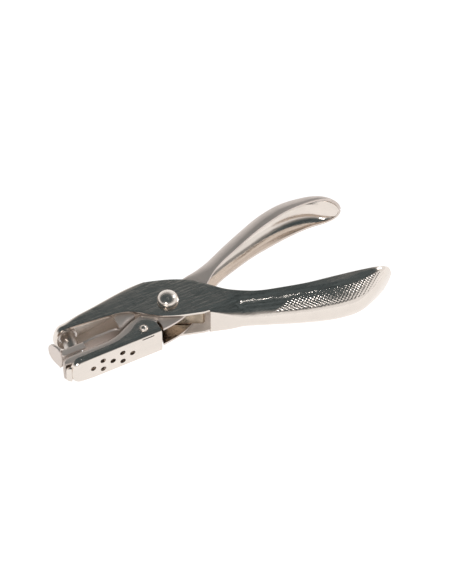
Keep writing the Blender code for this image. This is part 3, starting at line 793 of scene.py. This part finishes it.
def die_half(x):
    nose = rounding(DIE_NOSE_X + DIE_NOSE - x, DIE_NOSE)
    tip = rounding(x - (DIE_TIP_X - DIE_TIP), DIE_TIP)
    wide = DIE_HALF + grip_extra(x) + (JAW_HALF - DIE_HALF) * along(GRIP_SHARE, x)
    return wide * (0.7 + 0.3 * nose) * (0.08 + 0.92 * tip)


def die_section(x):
    """The die lever's half section at x: 10 points from the web to the free edge."""
    half = die_half(x)
    top, low = along(DIE_TOP, x), along(DIE_LOW, x)
    blend = ramp(x, GRIP_WEB_START, GRIP_BLEND)
    across = 1.5 + (half * 0.9 - 1.5) * blend
    upright = min(1.5 + 4.5 * blend, (top - low) * 0.8)
    points = [(0, top)]
    if blend < 1:
        points.append(((half - across) * 0.6, top))
    else:
        points.append((half * 0.1, top))
    for turn in (90, 60, 30, 0):
        angle = math.radians(turn)
        points.append((half - across + across * math.cos(angle), top - upright + upright * math.sin(angle)))
    if blend >= 1:
        points[1] = (points[2][0] * 0.5, top)
    for share in steps(0, 1, 4)[1:]:
        points.append((half, (top - upright) * (1 - share) + low * share))
    return points


def die_sheet():
    nose = [DIE_NOSE_X, DIE_NOSE_X + 0.25, DIE_NOSE_X + 0.7, DIE_NOSE_X + 1.4, -47.6, -45.5, -42.5]
    places = nose + steps(-39.5, 20.0, 24) + steps(22.3, DIE_TIP_X - DIE_TIP, 25)
    places += tip_places(DIE_TIP_X, DIE_TIP)

    def place(column, row):
        x = places[column]
        z, y = die_section(x)[row]
        return Vector((x, y, z))

    return both_sides(grid(len(places), 10, place, lambda column, row: True), (0, 1, 0))


class PUNCH_OT_die_lever(bpy.types.Operator):
    """The inner lever: its web is the die in front and the back of the other grip behind"""

    bl_idname = "punch.die_lever"
    bl_label = "Die lever"

    def execute(self, context):
        lever = piece("lever_die", die_sheet(), satin_plate(context), 0)
        thicken(lever, sizes_mm(context)["sheet"], 2, inside=hollow_plate(context))
        settle(lever)
        cut(lever, post(PIN_RADIUS + 0.5, 6, along_y(PIN_X - 0.2, DIE_Y)))
        relief = arc((HINGE.x, HINGE.y), 7.85, -100, 20, 24) + arc((HINGE.x, HINGE.y), 2.8, 20, -100, 16)
        for side in (-1, 1):
            cut(lever, prism(relief, side * DIE_HALF - 1.6, side * DIE_HALF + 1.6))
        resharpen(lever)
        dress(lever, "die_lever", "satin_nickel", "die_lever")
        return {"FINISHED"}


def prism(points, low, high):
    """A prism over points in X and Y, from low to high above the middle plane."""
    bm = bmesh.new()
    face = bm.faces.new([bm.verts.new((x, y, low)) for x, y in points])
    lifted = bmesh.ops.extrude_face_region(bm, geom=[face])
    moved = [item for item in lifted["geom"] if isinstance(item, bmesh.types.BMVert)]
    bmesh.ops.translate(bm, vec=(0, 0, high - low), verts=moved)
    bmesh.ops.recalc_face_normals(bm, faces=bm.faces)
    return bm


# --------------------------------------------------------------------- guide


LIP_LEAN_DEG = 74
LIP_LENGTH = 6.8
LIP_CORNER = 4.4
LIP_TURNS = (90, 76, 60, 42, 22, 0)
SKIRT_START_X = GUIDE_FRONT + 0.3
SKIRT_END_X = PIN_X + PIN_RADIUS - 0.1
EAR_START_X = -22.4
EAR_TOP_Y = GUIDE_Y + 5.4


def guide_columns():
    """The guide's upper face seen along the pivot, as (x, y, half width): lip, flat and sloping foot."""
    lean = math.radians(LIP_LEAN_DEG)
    runs = [LIP_LENGTH - LIP_CORNER * (1 - math.sin(math.radians(turn))) for turn in LIP_TURNS]
    columns = []
    for run in runs + [1.5, 0.3, 0.0]:
        wide = DIE_HALF - LIP_CORNER * (1 - rounding(run - (LIP_LENGTH - LIP_CORNER), LIP_CORNER))
        columns.append((GUIDE_FRONT - math.cos(lean) * run, GUIDE_Y + math.sin(lean) * run, wide))
    flat = (SKIRT_START_X, -45.4, -43.5, -41.6, -39.8, SKIRT_END_X - 0.25, SKIRT_END_X, -36.0, -31.0)
    columns += [(x, GUIDE_Y, DIE_HALF) for x in flat + (-26.5, -24.0)]
    for x in (EAR_START_X, EAR_START_X + 0.3, -20.5, -18.5, -16.5, -15.0, -14.6):
        columns.append((x, max(along(DIE_TOP, x) + 1.45, GUIDE_Y), DIE_HALF))
    return columns


def guide_sheet():
    columns = guide_columns()
    bend = 0.9
    ear_inset = 1.0
    skirt_height = 3.5
    skirt_forward = 1.6
    places = [x for x, y, wide in columns]
    first_skirt, last_skirt = places.index(SKIRT_START_X), places.index(SKIRT_END_X)
    first_ear = places.index(EAR_START_X)

    def bent(column):
        return first_skirt <= column <= last_skirt or column >= first_ear

    def place(column, row):
        x, y, wide = columns[column]
        if row < 3:
            fold = wide - bend if bent(column) else wide
            if column >= first_ear:
                fold -= ear_inset
            return Vector((x, y, (0, wide * 0.5, fold)[row]))
        step = row - 3
        out = wide - (0.26 * bend, 0, 0, 0)[step]
        if column >= first_ear:
            floor_y = y + (0.26 * bend, bend)[min(step, 1)]
            rise = floor_y if step < 2 else floor_y + (EAR_TOP_Y - floor_y) * (0, 0, 0.85, 1)[step]
            return Vector((x, rise, out - ear_inset))
        drop = (0.26 * bend, bend, 2.1, skirt_height)[step]
        forward = skirt_forward * drop / skirt_height if column == first_skirt else 0
        return Vector((x - forward, y - drop, out))

    def keep(column, row):
        return row < 2 or first_skirt <= column < last_skirt or column >= first_ear

    return both_sides(grid(len(columns), 7, place, keep), (0, 1, 0))


class PUNCH_OT_guide(bpy.types.Operator):
    """The strip over the die that guides the pin and strips the work off it"""

    bl_idname = "punch.guide"
    bl_label = "Guide"

    def execute(self, context):
        guide = piece("guide_strip", guide_sheet(), satin_plate(context), 0)
        thicken(guide, sizes_mm(context)["guide_sheet"], 2, 0.7)
        settle(guide)
        cut(guide, post(PIN_RADIUS + 0.5, 4, along_y(PIN_X - 0.4, GUIDE_Y)))
        resharpen(guide)
        dress(guide, "die_lever", "satin_nickel", "guide_plate")
        return {"FINISHED"}


class PUNCH_OT_guide_rivet(bpy.types.Operator):
    """The small rivet that holds the guide's foot"""

    bl_idname = "punch.guide_rivet"
    bl_label = "Guide rivet"

    def execute(self, context):
        x = -17.5
        slope = math.atan2(along(DIE_TOP, x + 2) - along(DIE_TOP, x - 2), 4)
        place = Matrix.Translation((x, along(DIE_TOP, x), 0)) @ Matrix.Rotation(slope, 4, "Z")
        profile = cap(1.9, 1.0, 1.6) + [(1.2, 1.6), (1.2, -1.4), (1.9, -1.4), (1.9, -2.0), (0, -2.0)]
        shape = spun(profile, place @ Matrix.Rotation(-math.pi / 2, 4, "X"), 40)
        rivet = piece("rivet_guide", shape, rivet_plate(context))
        dress(rivet, "die_lever", "rivet_steel", "guide_rivet")
        return {"FINISHED"}


# -------------------------------------------------------------- chip catcher

EAR = (-14.0, -9.0)
EAR_RADIUS = 5.2
CATCHER_HALF = 6.4
CATCHER_NOSE = 4.4
VENT_RADIUS = 1.2


def catcher_top(x):
    start = EAR[0] - 3.6
    ear = EAR[1] + math.sqrt(max(EAR_RADIUS**2 - (max(x, start) - EAR[0]) ** 2, 0))
    return ear if x >= start else along(CATCHER_TOP + [(start, ear)], x)


def catcher_sheet():
    length = CATCHER_NOSE
    bend = 1.2
    nose_bend = 1.9
    nose_edge = -10.2
    places = [CATCHER_FRONT + length, -42.4] + steps(-39.5, -19.5, 8)
    places += steps(-17.6, CATCHER_REAR - 0.4, 10) + [CATCHER_REAR]
    first = NOSE_LEVELS + 1 + len(NOSE_SIDES)

    def place(column, row):
        if column < first:
            turn, level = nose_turn(column, row), nose_level(column, row)
            edge = nose_edge + (catcher_top(places[0]) - nose_edge) * ramp(turn, 30, 60)
            point = nose_point(
                CATCHER_FRONT, length, CATCHER_HALF, turn, level, CATCHER_WEB_Y, edge, nose_bend
            )
            if column > NOSE_LEVELS and row < 2:
                point.z *= (0.0, 0.55)[row]
            return point
        x = places[column - first]
        fold = bend + (nose_bend - bend) * (1 - ramp(x, places[0], 5.0))
        slant = fold * (1 - math.sqrt(0.5))
        flat = CATCHER_HALF - fold
        points = [(0, CATCHER_WEB_Y), (flat * 0.55, CATCHER_WEB_Y), (flat, CATCHER_WEB_Y)]
        points.append((CATCHER_HALF - slant, CATCHER_WEB_Y + slant))
        for share in steps(0, 1, 4):
            points.append((CATCHER_HALF, (CATCHER_WEB_Y + fold) * (1 - share) + catcher_top(x) * share))
        z, y = points[row]
        return Vector((x, y, z))

    def keep(column, row):
        return row < 2 if column < NOSE_LEVELS else True

    bm = grid(first + len(places), 9, place, keep)
    bmesh.ops.remove_doubles(bm, verts=bm.verts, dist=0.002)
    return both_sides(bm, (0, -1, 0))


class PUNCH_OT_chip_catcher(bpy.types.Operator):
    """The vented box under the die, with its nail lip"""

    bl_idname = "punch.chip_catcher"
    bl_label = "Chip catcher"

    def execute(self, context):
        sizes = sizes_mm(context)
        box = piece("catcher_box", catcher_sheet(), bright_plate(context), 0)
        thicken(box, sizes["catcher_sheet"], 2, inside=dull_plate(context))
        settle(box)
        pitch = sizes["vent_pitch"]
        middle = PIN_X + 11.0
        row = pitch * math.sqrt(3)
        vents = [(middle + row * i, 0) for i in (-1, 0, 1)]
        vents += [(middle + row * i, side * pitch / 2) for i in (-0.5, 0.5) for side in (-1, 1)]
        for x, z in vents:
            cut(box, post(VENT_RADIUS, 4, along_y(x, CATCHER_WEB_Y + 0.4, z), 40))
        cut(box, slit())
        add(box, nail_lip())
        resharpen(box)
        dress(box, "chip_catcher", "bright_nickel", "chip_catcher")
        return {"FINISHED"}


def slit():
    """The short locating slit beside the catcher's upper fold."""
    bm = bmesh.new()
    place = Matrix.Translation((-14.9, CATCHER_WEB_Y + 0.3, 5.2)) @ Matrix.Diagonal((5.2, 2.4, 0.45, 1))
    bmesh.ops.create_cube(bm, size=1.0, matrix=place)
    return bm


def nail_lip():
    """The lip for a finger nail, with a rounded outline."""
    bm = bmesh.new()
    half, reach, corner = 3.8, 1.3, 1.4
    outline = [(0.9, -half), (-reach + 1.6, -half)]
    outline += arc((-reach + corner, -half + corner), corner, -90, -180, 6)[1:]
    outline += [(x, -z) for x, z in reversed(outline)]
    face = bm.faces.new([bm.verts.new((CATCHER_FRONT + x, CATCHER_WEB_Y + 1.7, z)) for x, z in outline])
    lifted = bmesh.ops.extrude_face_region(bm, geom=[face])
    moved = [item for item in lifted["geom"] if isinstance(item, bmesh.types.BMVert)]
    bmesh.ops.translate(bm, vec=(0, -0.9, 0), verts=moved)
    bmesh.ops.recalc_face_normals(bm, faces=bm.faces)
    lean = Matrix.Rotation(math.radians(-32), 4, "Z")
    foot = Matrix.Translation((CATCHER_FRONT + 0.8, CATCHER_WEB_Y + 1.6, 0))
    bmesh.ops.transform(bm, matrix=foot @ lean @ foot.inverted(), verts=bm.verts)
    return bm


class PUNCH_OT_catcher_pin(bpy.types.Operator):
    """The catcher's hinge pin, with a ball end on each side"""

    bl_idname = "punch.catcher_pin"
    bl_label = "Catcher pin"

    def execute(self, context):
        seat = CATCHER_HALF + 0.05
        ball = HINGE_PIN_REACH - seat
        profile = cap(1.55, 1.55, seat + ball - 1.55, 10) + [(2.0, seat + 0.12), (2.0, seat), (1.2, seat)]
        profile += [(radius, -height) for radius, height in reversed(profile)]
        pin = spun(profile, Matrix.Translation((HINGE.x, HINGE.y, 0)), 48)
        dress(piece("pin_catcher", pin, rivet_plate(context)), "die_lever", "rivet_steel", "catcher_pin")
        return {"FINISHED"}


# ------------------------------------------------------------ pivot, spring


class PUNCH_OT_pivot(bpy.types.Operator):
    """The main rivet and the washer under its tail"""

    bl_idname = "punch.pivot"
    bl_label = "Pivot rivet and washer"

    def execute(self, context):
        seat = JAW_HALF + 0.05
        top, tail = RIVET_TOP, -MIDDLE
        radius, height = 4.1, 2.5
        dome = [(radius * x, top - height + height * y) for x, y in arc((0, 0), 1.0, 90, 0, 16)]
        profile = [(0, top)] + dome[1:] + [(4.0, top - 2.6), (4.2, top - 2.7)]
        profile += [(4.2, seat + 0.2), (4.0, seat), (2.3, seat), (2.3, tail + 0.7), (3.9, tail + 0.7)]
        profile += [(3.9, tail + 0.35), (3.6, tail), (0, tail)]
        rivet = piece("rivet_pivot", spun(profile), rivet_plate(context))
        dress(rivet, "die_lever", "rivet_steel", "pivot_rivet")
        low = tail + 0.75
        high = low + 0.8
        ring = [(2.4, high), (4.5, high), (4.6, low + 0.7), (4.6, low + 0.1), (4.5, low), (2.4, low)]
        washer = piece("washer_pivot", spun(ring + ring[:1]), rivet_plate(context))
        dress(washer, "die_lever", "rivet_steel", "pivot_washer")
        return {"FINISHED"}


def spring_path():
    """The leaf's middle line: a leg under the die lever's web, a turn round the rivet, and a leg with
    a curled end by the punch lever's lower web."""
    bend = 2.95
    slope = math.radians(21.8)
    end = Vector((10.4, -9.0))
    swing = math.degrees(math.acos(bend / end.length))
    leave = math.degrees(math.atan2(end.y, end.x)) - swing + 360
    turn = arc((0, 0), bend, math.degrees(slope) + 90, leave, 28)
    start = Vector(turn[0])
    ahead = Vector((math.cos(slope), math.sin(slope)))
    path = [tuple(start + ahead * 11.0 * share) for share in steps(1, 0, 8)[:-1]] + turn
    last = Vector(turn[-1])
    path += [tuple(last.lerp(end, share)) for share in steps(0, 1, 6)[1:]]
    run = end - last
    heading = math.degrees(math.atan2(run.y, run.x))
    side = math.radians(heading + 90)
    centre = (end.x + math.cos(side), end.y + math.sin(side))
    return path + arc(centre, 1.0, heading - 90, heading + 110, 12)[1:]


class PUNCH_OT_spring(bpy.types.Operator):
    """The leaf spring that opens the levers"""

    bl_idname = "punch.spring"
    bl_label = "Return spring"

    def execute(self, context):
        path = spring_path()
        half = 3.5
        across = steps(-half, half, 4)

        def place(column, row):
            x, y = path[column]
            return Vector((x, y, across[row]))

        leaf = grid(len(path), len(across), place, lambda column, row: True)
        spring = piece("spring_leaf", leaf, tempered_steel(context), 0)
        wall = spring.modifiers.new("sheet", "SOLIDIFY")
        wall.thickness = sizes_mm(context)["spring_sheet"] * MM
        wall.offset = 0
        settle(spring)
        resharpen(spring)
        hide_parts("return_spring")
        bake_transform(spring)
        return {"FINISHED"}


# --------------------------------------------------------------------- stage


def studio_world(scene):
    """White round the horizon and below it, dark overhead, so that plate has something to mirror."""
    world = bpy.data.worlds.new("studio")
    world.use_nodes = True
    tree = world.node_tree
    back = tree.nodes["Background"]
    place = tree.nodes.new("ShaderNodeTexCoord")
    split = tree.nodes.new("ShaderNodeSeparateXYZ")
    tree.links.new(place.outputs["Generated"], split.inputs["Vector"])
    shade = tree.nodes.new("ShaderNodeValToRGB")
    stops = shade.color_ramp.elements
    stops[0].position = 0.3
    stops[0].color = (1.0, 1.0, 1.0, 1)
    stops[1].position = 0.72
    stops[1].color = (0.08, 0.1, 0.107, 1)
    middle = stops.new(0.5)
    middle.color = (0.34, 0.33, 0.32, 1)
    # The room is darker on the side of the jaws, so the dark comes lower there.
    height = math_node(tree, "MULTIPLY_ADD", split.outputs["X"], -0.22)
    tree.links.new(split.outputs["Z"], height.node.inputs[2])
    tree.links.new(height, shade.inputs["Fac"])
    clouds = noise(tree, place.outputs["Generated"], 12.0, 4)
    dim = spread(tree, clouds, 0.35, 0.65, 0.4, 1.6)
    high = spread(tree, split.outputs["Z"], 0.4, 0.7)
    light = tree.nodes.new("ShaderNodeMix")
    light.data_type = "FLOAT"
    light.inputs[2].default_value = 1.0
    tree.links.new(high, light.inputs[0])
    tree.links.new(dim, light.inputs[3])
    tree.links.new(shade.outputs["Color"], back.inputs["Color"])
    tree.links.new(light.outputs[0], back.inputs["Strength"])
    scene.world = world


def towards(azimuth, elevation):
    """A direction by degrees; azimuth 0 is on the -Y side and 90 on +X."""
    turn, rise = math.radians(azimuth), math.radians(elevation)
    return Vector((math.sin(turn) * math.cos(rise), -math.cos(turn) * math.cos(rise), math.sin(rise)))


def softbox(name, azimuth, elevation, distance, width, height, power):
    """An area light that looks at the tool's middle."""
    away = towards(azimuth, elevation)
    light = bpy.data.lights.new(name, "AREA")
    light.shape = "RECTANGLE"
    light.size = width
    light.size_y = height
    light.energy = power
    obj = bpy.data.objects.new(name, light)
    middle = (CAD_BOX[0] + CAD_BOX[1]) / 2
    obj.location = middle + away * distance
    obj.rotation_euler = (-away).to_track_quat("-Z", "Y").to_euler()
    obj.visible_camera = False
    bpy.context.scene.collection.objects.link(obj)


class PUNCH_OT_stage(bpy.types.Operator):
    """Pale floor, studio world, soft lights and the camera"""

    bl_idname = "punch.stage"
    bl_label = "Stage"

    def execute(self, context):
        bm = bmesh.new()
        bmesh.ops.create_grid(bm, x_segments=1, y_segments=1, size=6000)
        bmesh.ops.translate(bm, vec=(0, 0, -MIDDLE - 0.05), verts=bm.verts)
        paint = bpy.data.materials.new("pale floor")
        paint.use_nodes = True
        shader = paint.node_tree.nodes["Principled BSDF"]
        shader.inputs["Base Color"].default_value = (*context.scene.punch_finishes.floor, 1)
        shader.inputs["Roughness"].default_value = 0.9
        shader.inputs["Emission Color"].default_value = (1, 1, 1, 1)
        shader.inputs["Emission Strength"].default_value = 0.95
        piece("floor", bm, paint)

        studio_world(context.scene)
        softbox("softbox_front", -45, 32, 1.5, 0.5, 0.35, 5.0)
        softbox("softbox_right", 100, 35, 1.6, 0.4, 0.5, 4.0)
        softbox("ceiling_lamp", 140, 81, 1.8, 0.05, 0.05, 0.12)

        context.scene.view_settings.view_transform = "Standard"
        lens = bpy.data.cameras.new("camera")
        lens.lens = 200
        lens.sensor_width = 36
        camera = bpy.data.objects.new("camera", lens)
        back = towards(-27.7, 49.9)
        aim = Vector((25.1, -1.9, MIDDLE)) * MM
        view_height = 0.2336
        camera.location = aim + back * (view_height / 2 * lens.lens / (lens.sensor_width / 2))
        camera.rotation_euler = (-back).to_track_quat("-Z", "Y").to_euler()
        lens.clip_start = 0.05
        context.scene.collection.objects.link(camera)
        context.scene.camera = camera
        return {"FINISHED"}


# -------------------------------------------------------------------- add-on


class PUNCH_PT_panel(bpy.types.Panel):
    bl_label = "Plier punch"
    bl_idname = "PUNCH_PT_panel"
    bl_space_type = "VIEW_3D"
    bl_region_type = "UI"
    bl_category = "Punch"

    def draw(self, context):
        for name in PUNCH_PG_sizes.__annotations__:
            self.layout.prop(context.scene.punch_sizes, name)
        for name in PUNCH_PG_finishes.__annotations__:
            self.layout.prop(context.scene.punch_finishes, name)
        for operator in OPERATORS:
            self.layout.operator(operator.bl_idname)


OPERATORS = (
    PUNCH_OT_stage, PUNCH_OT_punch_lever, PUNCH_OT_punch_pin, PUNCH_OT_die_lever, PUNCH_OT_guide,
    PUNCH_OT_guide_rivet, PUNCH_OT_chip_catcher, PUNCH_OT_catcher_pin, PUNCH_OT_pivot, PUNCH_OT_spring,
)
CLASSES = (PUNCH_PG_sizes, PUNCH_PG_finishes, *OPERATORS, PUNCH_PT_panel)


def register():
    for cls in CLASSES:
        bpy.utils.register_class(cls)
    bpy.types.Scene.punch_sizes = PointerProperty(type=PUNCH_PG_sizes)
    bpy.types.Scene.punch_finishes = PointerProperty(type=PUNCH_PG_finishes)


def unregister():
    del bpy.types.Scene.punch_finishes
    del bpy.types.Scene.punch_sizes
    for cls in reversed(CLASSES):
        bpy.utils.unregister_class(cls)


def main():
    register()
    bpy.ops.punch.stage()
    bpy.ops.punch.punch_lever()
    bpy.ops.punch.punch_pin()
    bpy.ops.punch.die_lever()
    bpy.ops.punch.guide()
    bpy.ops.punch.guide_rivet()
    bpy.ops.punch.chip_catcher()
    bpy.ops.punch.catcher_pin()
    bpy.ops.punch.pivot()
    bpy.ops.punch.spring()


if __name__ == "__main__":
    main()
